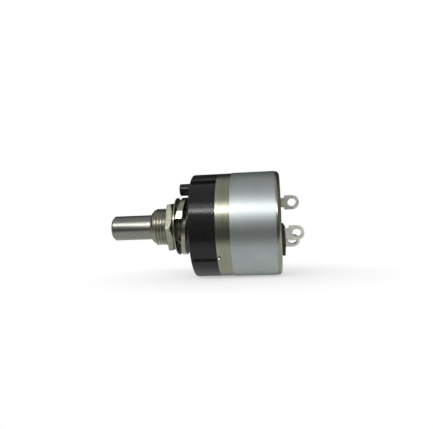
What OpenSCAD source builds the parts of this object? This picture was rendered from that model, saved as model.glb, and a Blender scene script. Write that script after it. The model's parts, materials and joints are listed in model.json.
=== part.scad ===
// Panel-mount rotary potentiometer, single turn, in millimetres.
// The shaft lies along X with its knob end towards -X, the lugs point to +X and +Z is up.
// The origin is on the shaft's axis, in the plane of the mounting face.

/* [Shaft] */
// Diameter of the knob end
shaft_d = 6; // [5:0.05:6.35]
// How far the tip stands in front of the mounting face
shaft_reach = 19.45; // [14:0.05:40]
// Chamfer round the tip
tip_chamfer = 0.5; // [0.2:0.05:1]
// How much thinner the ground journal in the bushing is than the knob end
journal_relief = 0.06; // [0.02:0.01:0.2]
// Depth of the grinding undercut behind the journal's shoulder
undercut = 0.35; // [0.2:0.05:0.5]
// Length of that undercut
undercut_l = 0.8; // [0.5:0.1:1.5]
// Diameter of the seat for the hub
seat_d = 5; // [4.2:0.1:5.2]
// Depth of the flat that keys the hub
seat_flat = 0.6; // [0.3:0.05:1]
// Diameter of the rear pivot
pivot_d = 3; // [2:0.1:3.6]
// How deep the pivot reaches into the terminal plate
pivot_depth = 1.2; // [0.8:0.05:1.4]

/* [Bushing and its hardware] */
// Major diameter of the bushing's thread
thread_d = 9; // [8:0.05:9.5]
// How far the bushing stands in front of the mounting face
bush_reach = 9.45; // [8:0.05:13]
// Chamfer at the front of the bushing
bush_chamfer = 1; // [0.3:0.05:1.2]
// Diameter of the flange moulded into the housing
flange_d = 11.4; // [11:0.1:13]
// Width across the two flats that keep that flange from turning
flange_flats = 10.6; // [10:0.1:11]
// Thickness of that flange
flange_t = 1.4; // [0.8:0.1:1.6]
// How far behind the mounting face the flange starts
flange_set = 1; // [0.8:0.1:1.2]
// Diameter of the bushing behind its flange
bush_tail_d = 8.4; // [7.8:0.1:9]
// Width of the nut across its flats
nut_af = 11; // [10.5:0.1:12.5]
// Thickness of the nut
nut_t = 1.85; // [1.5:0.05:3]
// Diameter of the round face that the nut's chamfer leaves on the washer side
nut_face_d = 9.7; // [9.6:0.1:10.4]
// Gap between the loose nut and the flat washer
nut_slack = 0.15; // [0:0.05:0.3]
// Turn of the nut about the shaft
nut_turn = 3.5; // [0:0.5:60]
// Outer diameter of both washers
washer_d = 13.9; // [12:0.1:13.9]
// Thickness of the flat washer
flat_t = 0.3; // [0.25:0.05:1]
// Thickness of the lock washer's section
lock_t = 1.25; // [0.8:0.05:1.6]
// How far the rear end of the lock washer springs back, at its rear edge
lock_lift = 0.8; // [0.5:0.05:1.1]
// How much thinner the section is at that end
lock_thin = 0.42; // [0:0.02:0.6]
// How far its front end springs forward, at its front edge
lock_dip = 0.9; // [0.3:0.05:1.2]
// How much thicker the section is at that end, which is upset into a tang
lock_swell = 0.63; // [0:0.01:0.8]
// How far the loose lock washer leans back at its top, and forward at its foot
lock_lean = 0.25; // [0:0.05:0.4]
// Opening between the lock washer's ends
lock_split = 7; // [3:0.5:12]
// Place of that opening, measured about the shaft from +Y
lock_turn = 167; // [0:1:359]
// Gap between the thread and what is screwed or slipped on it
thread_fit = 0.05; // [0.02:0.01:0.15]

/* [Housing] */
// Outer diameter of the housing and the can
body_d = 24.6; // [24.2:0.1:30]
// Length of the body from the housing's front rim to the can's rear face
body_l = 20.5; // [20:0.1:24]
// Height of the boss that carries the mounting face
boss_h = 1.2; // [0.8:0.1:1.6]
// Diameter of that boss
boss_d = 14; // [13.4:0.1:14.1]
// Length of the black collar in front of the can
collar_l = 6.05; // [5:0.05:7]
// Radius of the collar's front edge
rim_round = 0.5; // [0.2:0.05:0.8]
// Thickness of the front wall
front_wall = 3; // [2.6:0.1:3.4]
// Diameter of the locating peg
peg_d = 2.9; // [2:0.1:3]
// Distance of the peg from the shaft's axis
peg_r = 8.85; // [8.6:0.05:9.5]
// How far the peg stands in front of the mounting face
peg_reach = 2.4; // [1.5:0.1:4]
// Number of long grooves in the collar
groove_count = 4; // [2:1:6]
// Width of a groove
groove_w = 1.6; // [1.55:0.05:2]
// Depth of a groove
groove_depth = 0.8; // [0.78:0.02:0.9]
// Place of the first groove, measured about the shaft from +Y
groove_turn = 36.5; // [0:0.5:89]

/* [Can and label] */
// Thickness of the can's sheet
can_t = 0.4; // [0.3:0.05:0.5]
// Outer radius of the can's rear corner
can_round = 1; // [0.6:0.05:1.5]
// Width of the rim left round the window in the can's rear face
window_rim = 3.1; // [2.8:0.05:3.4]
// Gap between the can and what it closes on
can_fit = 0.03; // [0.01:0.01:0.1]
// Radius of the punch that makes a stake dent
stake_r = 0.55; // [0.4:0.05:0.6]
// How far the punch centre stays outside the can's surface
stake_out = 0.25; // [0.2:0.01:0.35]
// Distance of a dent from the can's front edge
stake_set = 0.6; // [0.5:0.05:1]
// Thickness of the label
label_t = 0.1; // [0.05:0.01:0.15]
// Bare can in front of the label
label_set = 3.25; // [2.5:0.05:4]
// Width of the label
label_w = 10.1; // [8:0.1:10.2]
// Opening between the label's ends, in degrees
label_gap = 5; // [2:0.5:15]
// Place of that opening, measured about the shaft from +Y
label_turn = 292; // [0:1:359]

/* [Terminals] */
// Thickness of the terminal plate under the can's rear face
plate_t = 1.8; // [1.6:0.05:2.4]
// Place of the wiper lug, measured about the shaft from +Y
term_turn = 63.6; // [0:0.1:359]
// Distance of the wiper lug from the axis
wiper_lug_r = 5.35; // [5:0.05:6]
// Distance of the end lugs from the axis
end_lug_r = 4.36; // [4.1:0.01:4.6]
// Angle from the middle of the pad to each end lug
end_lug_half = 29.8; // [28:0.1:34]
// Turn of the near lugs' flat sides out of the upright
lug_turn = 15; // [0:1:25]
// The same for the far end lug, which is bent further
far_lug_turn = 35; // [0:1:40]
// Thickness of a lug
lug_t = 0.6; // [0.4:0.05:0.7]
// Width of a lug's neck
neck_w = 2.3; // [1.8:0.1:2.6]
// Width of a lug's eye end
eye_w = 3.5; // [3.2:0.1:4]
// Diameter of the hole in the eye
eye_d = 2; // [1.6:0.1:2.4]
// Distance of the wiper lug's eye from the can's rear face
wiper_eye_reach = 2.85; // [2.7:0.05:4]
// Distance of the near end lug's eye from the can's rear face
eye_a_reach = 3.49; // [3:0.01:4.5]
// Distance of the far end lug's eye from the can's rear face
eye_b_reach = 2.58; // [2.4:0.01:4.5]
// Distance from the middle of an eye to the lug's square shoulders
shoulder_l = 1.8; // [1.3:0.05:2]
// Gap between the pad and the shoulders of a lug that stands on it
shoulder_gap = 0.1; // [0.05:0.05:0.3]
// Length of a lug's foot inside the body
foot_l = 2.1; // [1.6:0.1:2.4]
// Length of the raised pad
pad_l = 9; // [8:0.1:9.4]
// Width of the raised pad
pad_w = 4.6; // [4:0.1:5]
// Distance of the pad's middle from the shaft's axis
pad_r = 4.5; // [4.2:0.05:4.8]
// Height of the pad over the can's rear face
pad_h = 0.9; // [0.5:0.05:1.3]

/* [Resistance element] */
// Thickness from the body's outside to the cavity that holds the winding
case_wall = 2; // [1.8:0.05:2.2]
// Thickness of the winding across the card
winding_w = 1.2; // [1:0.05:1.3]
// Length of the winding along the shaft
winding_l = 6.8; // [5.5:0.1:7]
// Distance from the housing's front rim to the winding
winding_set = 7.7; // [7.5:0.05:8.2]
// Thickness of the wound wire
wire_t = 0.25; // [0.15:0.05:0.3]
// Angle that the winding covers
winding_angle = 310; // [300:1:320]
// Number of grooves drawn between the turns
turn_grooves = 44; // [20:1:60]
// Gap between the winding and the housing's wall, filled by cement
cement_gap = 0.05; // [0.02:0.01:0.1]
// Thickness of the end taps
tap_t = 0.25; // [0.15:0.05:0.3]
// Angle that an end tap covers on the winding
tap_angle = 9; // [6:1:12]

/* [Rotor] */
// Travel of the shaft to each side of its middle position
turn_limit = 150; // [120:1:155]
// Free angle left between nib and stop at each end
stop_clear = 0.5; // [0.2:0.1:1]
// Half angle of the hub's stop nib
nib_half = 10; // [8:1:14]
// Gap between the nib's tip and the cavity's wall
nib_gap = 0.9; // [0.6:0.05:1.2]
// Gap between the stop rib and the hub's front disc
stop_gap = 0.5; // [0.3:0.05:1]
// Free running gap between a turning and a fixed face
run_gap = 0.05; // [0.03:0.01:0.08]
// Radial gap between a journal and its bearing
journal_gap = 0.03; // [0.02:0.005:0.08]
// Diameter of the hub's front disc
hub_disc_d = 13; // [12.6:0.1:13.8]
// Thickness of the hub's front disc
hub_disc_t = 1.4; // [1.2:0.05:1.5]
// Diameter of the hub's barrel
barrel_d = 9; // [8:0.1:9.2]
// Length of the hub
hub_l = 9; // [7.5:0.1:9.4]
// Thickness of the spring strip
strip_t = 0.3; // [0.2:0.05:0.35]
// Width of the wiper arm and the collector strip
strip_w = 2.2; // [1.6:0.1:2.6]
// Distance from the slip ring to the free end of the collector strip
rivet_h = 0.7; // [0.5:0.05:1]
// Diameter of the contact rivets
contact_d = 0.8; // [0.6:0.05:0.9]
// Wall of the slip ring
ring_t = 0.5; // [0.3:0.05:0.6]
// Length of the slip ring
ring_l = 5; // [4:0.1:5.5]
// Thickness of the thrust washer
thrust_t = 0.3; // [0.2:0.05:0.4]
// Outer diameter of the thrust washer
thrust_d = 9.6; // [8.4:0.1:10]
// Thickness of the retaining clip
clip_t = 0.6; // [0.4:0.05:0.7]
// Outer diameter of the retaining clip
clip_d = 8.8; // [8:0.1:9.4]
// Depth of the clip's groove in the shaft
clip_bite = 0.5; // [0.3:0.05:0.6]

/* [Hidden] */
$fn = 96;
// Overshoot of a cutting shape past the face that it cuts
eps = 0.5;

// Stations along the shaft
rim_x = boss_h;
collar_x = rim_x + collar_l;
floor_x = rim_x + front_wall;
rear_x = rim_x + body_l;
plate_x = rear_x - can_t - plate_t;
// The lock washer's ends, measured about the shaft from +Y
lock_start = lock_turn - lock_split / 2;
lock_end = lock_turn + lock_split / 2;
// Front face of the lock washer halfway between its ends: its rear end touches the boss
lock_x = -lock_t - lock_lift - lock_lean * sin(lock_end);
lock_front_x = lock_x + lock_lean * sin(lock_start) - lock_dip;
flat_x = lock_front_x - flat_t;
nut_x = flat_x - nut_slack - nut_t;
label_x = collar_x + label_set;
winding_x = rim_x + winding_set;
// How far the bushing's tail stands out of the front wall, inside
bush_proud = 0.7;
bush_rear_x = floor_x + bush_proud;
thrust_x = bush_rear_x + run_gap;
clip_x = thrust_x + thrust_t + run_gap;
// Side play of the clip in its groove
clip_play = 0.02;
// Full-width land of the shaft behind the clip's groove
land_l = 0.7;
hub_x = clip_x + clip_t + clip_play + land_l;
wiper_x = hub_x + hub_disc_t;
ring_x = wiper_x + strip_t;
hub_end_x = hub_x + hub_l;
// Length of the hub's seat that shows behind the hub
seat_spare = 0.8;
seat_end_x = hub_end_x + seat_spare;
foot_x = plate_x - lug_t;

// Radii
journal_d = shaft_d - journal_relief;
bore_d = journal_d + 2 * journal_gap;
can_in_r = body_d / 2 - can_t;
spigot_r = can_in_r - can_fit;
groove_r = body_d / 2 - groove_depth;
plate_r = can_in_r - can_fit;
// Gap between the plate's flush centre and the can's window
window_gap = 0.05;
cavity_r = body_d / 2 - case_wall;
winding_r = cavity_r - cement_gap;
winding_in_r = winding_r - winding_w;
sweep_r = winding_r - winding_w / 2;
nib_r = cavity_r - nib_gap;
stop_r = hub_disc_d / 2 + stop_gap;
window_r = body_d / 2 - window_rim;
ring_r = barrel_d / 2 + ring_t;
pad_turn = term_turn + 180;
stop_half = 180 - turn_limit - stop_clear - nib_half;
// Gap round a lug in its slot
slot_gap = 0.03;
// Extra depth of the blind bearing behind the pivot
pivot_spare = 0.2;

module along(x) translate([x, 0, 0]) rotate([0, 90, 0]) children();

// Turned shape: its profile has the radius across and the station up
module turned() rotate([0, 90, 0]) rotate_extrude() children();

module tube(x, l, r_in, r_out) turned() translate([r_in, x]) square([r_out - r_in, l]);

module rod(x, l, r) along(x) cylinder(h = l, r = r);

// Ring sector whose middle points to +Y
module sector(x, l, r_in, r_out, angle)
    along(x) rotate([0, 0, 90 - angle / 2]) rotate_extrude(angle = angle)
        translate([r_in, 0]) square([r_out - r_in, l]);

module about(t) rotate([t, 0, 0]) children();

function arc(cx, cy, r, from, to, n = 6) =
    [for (i = [0:n]) let (a = from + (to - from) * i / n) [cx + r * cos(a), cy + r * sin(a)]];

module bush_flange() intersection() {
    rod(flange_set, flange_t, flange_d / 2);
    // Two flats keep the bushing from turning in the moulding
    translate([flange_set - eps, -flange_d, -flange_flats / 2])
        cube([flange_t + 2 * eps, 2 * flange_d, flange_flats]);
}

module threaded_bushing() color([0.72, 0.72, 0.66]) difference() {
    union() {
        turned() polygon([
            [0, -bush_reach], [thread_d / 2 - bush_chamfer, -bush_reach],
            [thread_d / 2, bush_chamfer - bush_reach], [thread_d / 2, flange_set], [0, flange_set]
        ]);
        bush_flange();
        rod(flange_set + flange_t, bush_rear_x - flange_set - flange_t, bush_tail_d / 2);
    }
    rod(-bush_reach - eps, bush_reach + bush_rear_x + 2 * eps, bore_d / 2);
}

module front_housing() {
    edge_r = body_d / 2 - rim_round;
    // The peg is sunk this far into the front wall, of which it is a part
    peg_root = 0.5;
    peg_round = 0.25;
    color([0.16, 0.16, 0.17]) difference() {
        union() {
            turned() polygon(concat(
                [[0, 0], [boss_d / 2, 0], [boss_d / 2, rim_x]],
                arc(edge_r, rim_x + rim_round, rim_round, -90, 0),
                [[body_d / 2, collar_x], [spigot_r, collar_x], [spigot_r, plate_x],
                 [cavity_r, plate_x], [cavity_r, floor_x], [0, floor_x]]
            ));
            translate([0, 0, peg_r]) turned() polygon([
                [0, -peg_reach], [peg_d / 2 - peg_round, -peg_reach],
                [peg_d / 2, peg_round - peg_reach], [peg_d / 2, rim_x + peg_root], [0, rim_x + peg_root]
            ]);
            about(term_turn) stop_rib();
        }
        rod(-eps, flange_set + 2 * eps, thread_d / 2);
        bush_flange();
        rod(flange_set + flange_t - eps, floor_x, bush_tail_d / 2);
        for (i = [0:groove_count - 1]) about(groove_turn + i * 360 / groove_count) {
            // The groove runs on under the can as far as the stake dents reach
            translate([rim_x - eps, groove_r, -groove_w / 2])
                cube([collar_l + stake_set + stake_r + can_t + 2 * eps, body_d, groove_w]);
        }
    }
}

module stop_rib()
    sector(floor_x - eps, wiper_x - strip_t - floor_x + eps, stop_r, cavity_r + eps / 2, 2 * stop_half);

module rear_can() {
    outer = body_d / 2;
    inner_round = can_round - can_t;
    color([0.7, 0.7, 0.64]) difference() {
        union() {
            turned() polygon(concat(
                [[can_in_r, collar_x], [outer, collar_x]],
                arc(outer - can_round, rear_x - can_round, can_round, 0, 90),
                [[window_r, rear_x], [window_r, rear_x - can_t]],
                arc(can_in_r - inner_round, rear_x - can_t - inner_round, inner_round, 90, 0)
            ));
            intersection() {
                stake_dents(stake_r + can_t);
                tube(collar_x, 2 * (stake_r + can_t) + stake_set, 0, outer);
            }
        }
        stake_dents(stake_r);
    }
}

module stake_dents(r)
    for (i = [0:groove_count - 1]) about(groove_turn + i * 360 / groove_count)
        translate([collar_x + stake_set, body_d / 2 + stake_out, 0]) sphere(r = r, $fn = 32);

module label_wrap() color([0.78, 0.8, 0.82])
    about(label_turn + 180) sector(label_x, label_w, body_d / 2, body_d / 2 + label_t, 360 - label_gap);

module hex_nut() {
    corner_r = nut_af / sqrt(3);
    face_r = nut_face_d / 2;
    rear_x = nut_x + nut_t;
    // The turned shape that cuts the chamfer reaches past the corners
    past_r = corner_r + eps;
    rise = (past_r - face_r) * tan(30);
    color([0.74, 0.75, 0.68]) difference() {
        intersection() {
            about(nut_turn) along(nut_x) rotate([0, 0, 90]) cylinder(h = nut_t, r = corner_r, $fn = 6);
            turned() polygon([
                [0, nut_x - eps], [past_r, nut_x - eps], [past_r, rear_x - rise],
                [face_r, rear_x], [0, rear_x]
            ]);
        }
        rod(nut_x - eps, nut_t + 2 * eps, thread_d / 2 + thread_fit);
    }
}

module flat_washer() color([0.66, 0.66, 0.6])
    tube(flat_x, flat_t, thread_d / 2 + 2 * thread_fit, washer_d / 2);

// Square-edged section carried once round the thread, a sprung and tanged lock washer: its
// front end dips to the flat washer and swells, its rear end rises to the boss and thins
module lock_washer() {
    steps = 90;
    r_in = thread_d / 2 + 2 * thread_fit;
    r_out = washer_d / 2;
    // Shares of the turn over which the front end dips and after which the rear end rises
    dip_to = 0.13;
    rise_from = 0.7;
    sweep = 360 - lock_split;
    dip = function (u) pow(max(0, 1 - u / dip_to), 1.5);
    rise = function (u) pow(max(0, (u - rise_from) / (1 - rise_from)), 1.25);
    front = function (u, a) lock_x + lock_lean * sin(a)
        - lock_dip * dip(u) + (lock_lift + lock_thin) * rise(u);
    thick = function (u) lock_t + lock_swell * dip(u) - lock_thin * rise(u);
    rings = [for (i = [0:steps])
        let (u = i / steps, a = lock_start - sweep * u, x = front(u, a), t = thick(u))
        for (c = [[r_in, x], [r_out, x], [r_out, x + t], [r_in, x + t]])
            [c[1], c[0] * cos(a), c[0] * sin(a)]];
    sides = [for (i = [0:steps - 1], k = [0:3])
        [4 * i + k, 4 * i + (k + 1) % 4, 4 * i + 4 + (k + 1) % 4, 4 * i + 4 + k]];
    color([0.64, 0.65, 0.58]) polyhedron(
        points = rings,
        faces = concat([[3, 2, 1, 0]], sides, [[for (k = [0:3]) 4 * steps + k]]));
}

module terminal_plate() color([0.14, 0.14, 0.15]) difference() {
    // The rear edge clears the can's inner corner
    edge = can_round - can_t + 0.1;
    back_x = rear_x - can_t;
    union() {
        turned() polygon(concat(
            [[0, plate_x], [plate_r, plate_x]],
            arc(plate_r - edge, back_x - edge, edge, 0, 90),
            [[window_r - window_gap, back_x], [window_r - window_gap, rear_x], [0, rear_x]]
        ));
        about(pad_turn) terminal_pad();
    }
    rod(plate_x - eps, pivot_depth + pivot_spare + eps, pivot_d / 2 + journal_gap);
    lug_places() translate([plate_x - eps, -lug_t / 2 - slot_gap, -neck_w / 2 - slot_gap])
        cube([plate_t + can_t + pad_h + 2 * eps, lug_t + 2 * slot_gap, neck_w + 2 * slot_gap]);
}

// Oblong pad across the radius, its end by the near lug bevelled
module terminal_pad() {
    bevel_l = 1.9;
    bevel_h = 0.5;
    high = rear_x + pad_h;
    low = rear_x - can_t / 2;
    translate([0, pad_r - pad_w / 2, 0]) rotate([-90, 0, 0]) linear_extrude(pad_w) polygon([
        [low, -pad_l / 2], [high, -pad_l / 2], [high, pad_l / 2 - bevel_l],
        [high - bevel_h, pad_l / 2], [low, pad_l / 2]
    ]);
}

// Places a child at a lug's neck: 0 is the wiper lug, 1 and 2 are the end lugs
module lug_place(i) {
    t = [term_turn, pad_turn - end_lug_half, pad_turn + end_lug_half][i];
    r = [wiper_lug_r, end_lug_r, end_lug_r][i];
    translate([0, r * cos(t), r * sin(t)]) about([lug_turn, lug_turn, far_lug_turn][i]) children();
}

module lug_places() for (i = [0:2]) lug_place(i) children();

// Flat lug: foot behind the plate, neck through it, eye with square shoulders and a round end
module lug(i, foot_side) {
    eye_x = rear_x + [wiper_eye_reach, eye_a_reach, eye_b_reach][i];
    stand_x = rear_x + [0, pad_h, pad_h][i];
    shoulder_x = max(eye_x - shoulder_l, stand_x + shoulder_gap);
    color([0.74, 0.75, 0.7]) lug_place(i) {
        translate([0, lug_t / 2, 0]) rotate([90, 0, 0]) linear_extrude(lug_t) difference() {
            union() {
                translate([plate_x, -neck_w / 2]) square([eye_x - plate_x, neck_w]);
                translate([shoulder_x, -eye_w / 2]) square([eye_x - shoulder_x, eye_w]);
                translate([eye_x, 0]) circle(d = eye_w);
            }
            translate([eye_x, 0]) circle(d = eye_d);
        }
        mirror([0, foot_side > 0 ? 0 : 1, 0]) lug_foot();
    }
}

module lug_foot() {
    translate([foot_x, lug_t / 2, -neck_w / 2]) cube([lug_t, foot_l, neck_w]);
    intersection() {
        translate([plate_x, lug_t / 2, -neck_w / 2]) cylinder(h = neck_w, r = lug_t);
        translate([foot_x, -lug_t / 2, -neck_w / 2]) cube([lug_t, lug_t, neck_w]);
    }
}

module element_card() color([0.55, 0.35, 0.18]) about(term_turn) card_shape();

module card_shape() sector(
    winding_x + wire_t, winding_l - 2 * wire_t,
    winding_in_r + wire_t, winding_r - wire_t, winding_angle + 4);

module element_winding() {
    step = winding_angle / turn_grooves;
    cut = 0.08;
    color([0.62, 0.58, 0.5]) about(term_turn) difference() {
        sector(winding_x, winding_l, winding_in_r, winding_r, winding_angle);
        card_shape();
        // Fine lines between the turns, on the edge that the wiper sweeps
        for (i = [1:turn_grooves - 1]) about(i * step - winding_angle / 2)
            translate([winding_x - cut, winding_in_r - eps, -cut / 2])
                cube([2 * cut, winding_w + 2 * eps, cut]);
    }
}

// Strip on the winding's inner face, a tail to the rear and a flat leaf on the lug's foot
module end_tap(side) {
    t = term_turn + side * (winding_angle - tap_angle) / 2;
    leaf_from = end_lug_r - 0.4;
    leaf_turn = side > 0 ? pad_turn - end_lug_half : pad_turn + end_lug_half;
    leaf_x = foot_x - tap_t;
    color([0.75, 0.55, 0.3]) {
        about(t) sector(winding_x + 2 * wire_t, leaf_x + tap_t - winding_x - 2 * wire_t,
            winding_in_r - tap_t, winding_in_r, tap_angle);
        about(leaf_turn) sector(leaf_x, tap_t, leaf_from, winding_in_r - tap_t / 2, 2 * tap_angle);
    }
}

// Leaf under the wiper lug's foot and an arm that leans in towards the slip ring
module collector_spring() {
    // The leaf reaches this far to both sides of the lug's place
    root_l = 0.5;
    bend_l = 1.6;
    // The strip's free end stops this far behind the ring's front, over its surface
    tip_set = 2;
    root_r = wiper_lug_r - root_l;
    bend_r = wiper_lug_r + bend_l;
    tip_x = ring_x + tip_set;
    tip_r = ring_r + rivet_h;
    color([0.72, 0.5, 0.26]) about(term_turn) difference() {
        translate([0, 0, -strip_w / 2]) linear_extrude(strip_w) polygon([
            [foot_x, root_r], [foot_x, bend_r], [tip_x, tip_r + strip_t], [tip_x, tip_r],
            [foot_x - strip_t, bend_r - strip_t], [foot_x - strip_t, root_r]
        ]);
        collector_rivet();
    }
}

module collector_rivet() {
    // The rivet's head stands this far over the sloping strip
    above = 0.6;
    translate([ring_x + ring_l / 2 + contact_d / 2, ring_r + run_gap, 0]) rotate([-90, 0, 0])
        cylinder(h = rivet_h + strip_t + above, d = contact_d);
}

module collector_contact() color([0.85, 0.8, 0.6]) about(term_turn) collector_rivet();

module shaft() color([0.7, 0.7, 0.68]) difference() {
    groove_r2 = journal_d / 2 - clip_bite;
    turned() polygon([
        [0, -shaft_reach], [shaft_d / 2 - tip_chamfer, -shaft_reach],
        [shaft_d / 2, tip_chamfer - shaft_reach], [shaft_d / 2, -bush_reach - run_gap],
        [journal_d / 2 - undercut, -bush_reach - run_gap],
        [journal_d / 2 - undercut, undercut_l - bush_reach], [journal_d / 2, undercut_l - bush_reach],
        [journal_d / 2, clip_x - clip_play],
        [groove_r2, clip_x - clip_play], [groove_r2, clip_x + clip_t + clip_play],
        [journal_d / 2, clip_x + clip_t + clip_play], [journal_d / 2, hub_x],
        [seat_d / 2, hub_x], [seat_d / 2, seat_end_x], [pivot_d / 2, seat_end_x],
        [pivot_d / 2, plate_x + pivot_depth], [0, plate_x + pivot_depth]
    ]);
    about(term_turn) seat_key(hub_x);
}

// What the flat takes off the seat
module seat_key(x) translate([x, seat_d / 2 - seat_flat, -seat_d])
    cube([seat_end_x - x, seat_d, 2 * seat_d]);

module rotor_hub() color([0.3, 0.2, 0.14]) difference() {
    union() {
        rod(hub_x, hub_disc_t, hub_disc_d / 2);
        rod(hub_x, hub_l, barrel_d / 2);
        about(pad_turn) sector(hub_x, hub_disc_t - strip_t, barrel_d / 2, nib_r, 2 * nib_half);
    }
    difference() {
        rod(hub_x - eps, hub_l + 2 * eps, seat_d / 2);
        about(term_turn) seat_key(hub_x - eps);
    }
}

module wiper_spring() {
    // The disc stays inside the hub's front disc
    disc_r = hub_disc_d / 2 - 0.3;
    tip_r = contact_d / 2 + 0.1;
    color([0.75, 0.52, 0.28]) about(term_turn) along(wiper_x) linear_extrude(strip_t) difference() {
        union() {
            circle(r = disc_r);
            polygon([[-strip_w / 2, 0], [strip_w / 2, 0], [tip_r, sweep_r], [-tip_r, sweep_r]]);
            translate([0, sweep_r]) circle(r = tip_r);
        }
        circle(d = barrel_d);
        translate([0, sweep_r]) circle(d = contact_d);
    }
}

module wiper_rivet() translate([0, sweep_r, 0])
    rod(wiper_x - strip_t / 2, winding_x - run_gap - wiper_x + strip_t / 2, contact_d / 2);

module wiper_contact() color([0.85, 0.8, 0.6]) about(term_turn) wiper_rivet();

module slip_ring() color([0.8, 0.7, 0.4]) tube(ring_x, ring_l, barrel_d / 2, ring_r);

module thrust_washer() color([0.7, 0.68, 0.6])
    tube(thrust_x, thrust_t, journal_d / 2 + journal_gap, thrust_d / 2);

// Open ring with a mouth a little narrower than the groove's floor
module retaining_clip() {
    seat_r = journal_d / 2 - clip_bite + clip_play;
    mouth = 1.5 * seat_r;
    color([0.5, 0.5, 0.48]) difference() {
        tube(clip_x, clip_t, seat_r, clip_d / 2);
        about(pad_turn) translate([clip_x - eps, 0, -mouth / 2]) cube([clip_t + 2 * eps, clip_d, mouth]);
    }
}

front_housing();
threaded_bushing();
hex_nut();
flat_washer();
lock_washer();
rear_can();
label_wrap();
terminal_plate();
lug(0, 1);  // wiper_lug
lug(1, -1);  // end_lug_a
lug(2, -1);  // end_lug_b
element_card();
element_winding();
end_tap(1);  // end_tap_a
end_tap(-1);  // end_tap_b
collector_spring();
collector_contact();
shaft();
rotor_hub();
wiper_spring();
wiper_contact();
slip_ring();
thrust_washer();
retaining_clip();
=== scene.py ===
"""Looks of a panel-mount rotary potentiometer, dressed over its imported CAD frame.

The shaft lies along X with its knob end towards -X, the lugs point to +X and +Z is up.
Sizes in the classes are millimetres, and meshes are written in metres.
"""

import json
import logging
import math
from dataclasses import dataclass, field
from enum import Enum
from typing import Any, Mapping, Optional, Sequence

import bmesh
import bpy
import numpy as np
from mathutils import Matrix

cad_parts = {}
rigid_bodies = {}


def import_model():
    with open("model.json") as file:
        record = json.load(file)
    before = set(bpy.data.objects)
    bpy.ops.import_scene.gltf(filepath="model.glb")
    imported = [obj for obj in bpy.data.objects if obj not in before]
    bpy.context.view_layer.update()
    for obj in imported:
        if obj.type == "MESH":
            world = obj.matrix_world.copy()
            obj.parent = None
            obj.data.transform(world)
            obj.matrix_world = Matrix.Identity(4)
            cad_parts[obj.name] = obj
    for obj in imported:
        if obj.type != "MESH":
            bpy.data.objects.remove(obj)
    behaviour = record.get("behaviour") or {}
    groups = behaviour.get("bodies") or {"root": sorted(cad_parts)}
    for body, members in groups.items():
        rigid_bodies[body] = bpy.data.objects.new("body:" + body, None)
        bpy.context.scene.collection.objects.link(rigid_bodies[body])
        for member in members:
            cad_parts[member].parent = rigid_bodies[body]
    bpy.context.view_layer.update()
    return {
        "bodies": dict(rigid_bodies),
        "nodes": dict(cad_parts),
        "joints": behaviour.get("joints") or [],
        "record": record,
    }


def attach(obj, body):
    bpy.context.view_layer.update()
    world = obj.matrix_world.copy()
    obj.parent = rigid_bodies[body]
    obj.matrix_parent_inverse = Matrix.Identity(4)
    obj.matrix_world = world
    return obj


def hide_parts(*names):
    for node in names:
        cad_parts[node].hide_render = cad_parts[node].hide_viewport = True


LOG = logging.getLogger("potentiometer")
MM = 0.001
IMAGE_W = 433
# Points nearer than this are one point, in a new mesh and in the copy of a CAD node
WELD_M, NODE_WELD_M = 1e-7, 1e-6
# Steps round the axis that are nearer than this are one step
LEAST_STEP_DEG = 0.12
# The mix node has one set of sockets for each kind of data
FLOAT_A, FLOAT_B, FLOAT_OUT = 2, 3, 0
COLOUR_A, COLOUR_B, COLOUR_OUT = 6, 7, 2
# Detail and roughness of the two noises of every finish, and where the fine one lies
PATCH_NOISE = {"Scale": 1.0, "Detail": 4.0, "Roughness": 0.6}
FINE_NOISE = {"Scale": 1.0, "Detail": 3.0, "Roughness": 0.65}
FINE_FROM, FINE_TO = 0.3, 0.7
LEAST_ROUGHNESS = 0.02


# ---------------------------------------------------------------- materials


def linear(code: str) -> tuple[float, float, float, float]:
    """Turns an sRGB hex colour into linear values.

    Args:
        code: Six hex digits after a hash sign.

    Returns:
        Linear red, green and blue with an alpha of one.
    """
    channels = (int(code[i : i + 2], 16) / 255 for i in (1, 3, 5))
    red, green, blue = (
        c / 12.92 if c <= 0.04045 else ((c + 0.055) / 1.055) ** 2.4 for c in channels
    )
    return (red, green, blue, 1.0)


def add_node(
    tree: bpy.types.NodeTree,
    kind: str,
    inputs: Optional[Mapping[Any, Any]] = None,
    **settings: Any,
) -> bpy.types.Node:
    """Adds one node, sets its properties, and fills or links its inputs.

    Args:
        tree: Node tree that gets the node.
        kind: Blender's name of the node type.
        inputs: Socket name or number to a value, or to an output socket to link.
        **settings: Properties of the node itself.

    Returns:
        The new node.
    """
    node = tree.nodes.new(kind)
    for name, value in settings.items():
        setattr(node, name, value)
    for key, value in (inputs or {}).items():
        socket = node.inputs[key]
        if isinstance(value, bpy.types.NodeSocket):
            tree.links.new(value, socket)
        else:
            socket.default_value = value
    return node


def blank_material(name: str) -> bpy.types.Material:
    """Makes a material whose node tree is still empty.

    Args:
        name: Name of the material.

    Returns:
        The new material.
    """
    material = bpy.data.materials.new(name)
    material.use_nodes = True
    material.node_tree.nodes.clear()
    return material


def add_object(name: str, data: bpy.types.ID) -> bpy.types.Object:
    """Makes an object and links it to the scene.

    Args:
        name: Name of the object.
        data: Its mesh, camera or lamp.

    Returns:
        The new object, at the origin.
    """
    obj = bpy.data.objects.new(name, data)
    bpy.context.scene.collection.objects.link(obj)
    return obj


class Grain(Enum):
    """How fast a surface's texture changes along each axis.

    ROUND gives rings round the shaft's axis, and ALONG gives lines along it.
    """

    EVEN = (1.0, 1.0, 1.0)
    ROUND = (1.0, 0.06, 0.06)
    ALONG = (0.08, 1.0, 1.0)


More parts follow.
